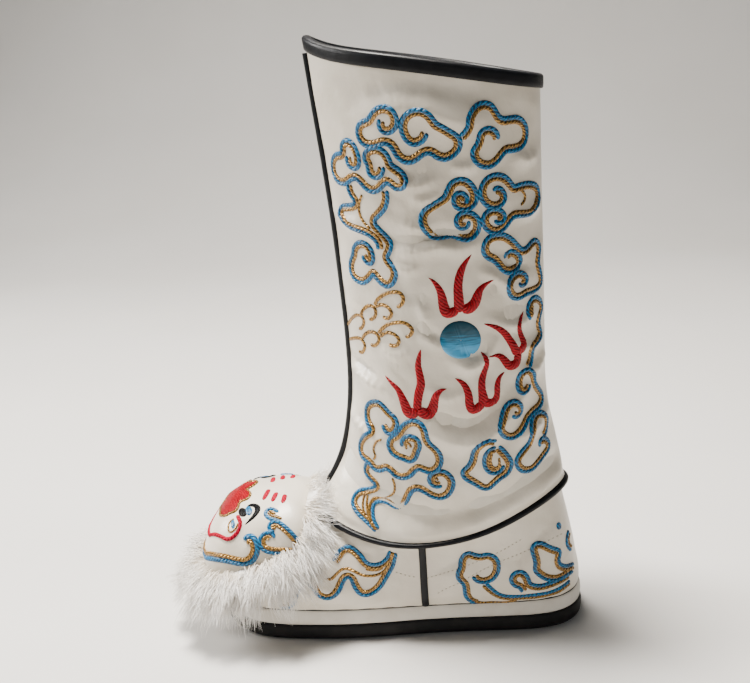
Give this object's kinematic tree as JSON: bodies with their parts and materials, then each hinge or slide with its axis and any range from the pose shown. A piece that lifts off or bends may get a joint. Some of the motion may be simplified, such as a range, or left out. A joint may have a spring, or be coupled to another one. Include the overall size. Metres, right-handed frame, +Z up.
{
  "type": "tiger head boot",
  "caption": "Tall satin stage boot with a padded tiger head and fur on the toe, black piping, embroidered shaft and a flat cloth-wrapped sole.",
  "frame": {"origin": "on the floor, on the tread of the outsole, half way along the sole and on its middle line", "axes": "+Z up along the shaft, the toe points along -Y, +X is the wearer's left"},
  "size_m": [0.1487, 0.3237, 0.4444],
  "materials": {
    "black_rubber": "matt",
    "white_cloth": "tight cotton wrap",
    "lining": "plain cotton",
    "white_satin": "satin, soft sheen",
    "black_piping": "glossy coated cloth",
    "white_fur": "long soft pile"
  },
  "bodies": {
    "root": {"outsole": "black_rubber", "midsole": "white_cloth", "insole": "lining", "upper": "white_satin", "collar_binding": "black_piping", "front_piping": "black_piping", "hem_cord": "black_piping", "side_strip_left": "black_piping", "side_strip_right": "black_piping", "tiger_head": "white_satin", "fur_trim": "white_fur"}
  },
  "joints": []
}
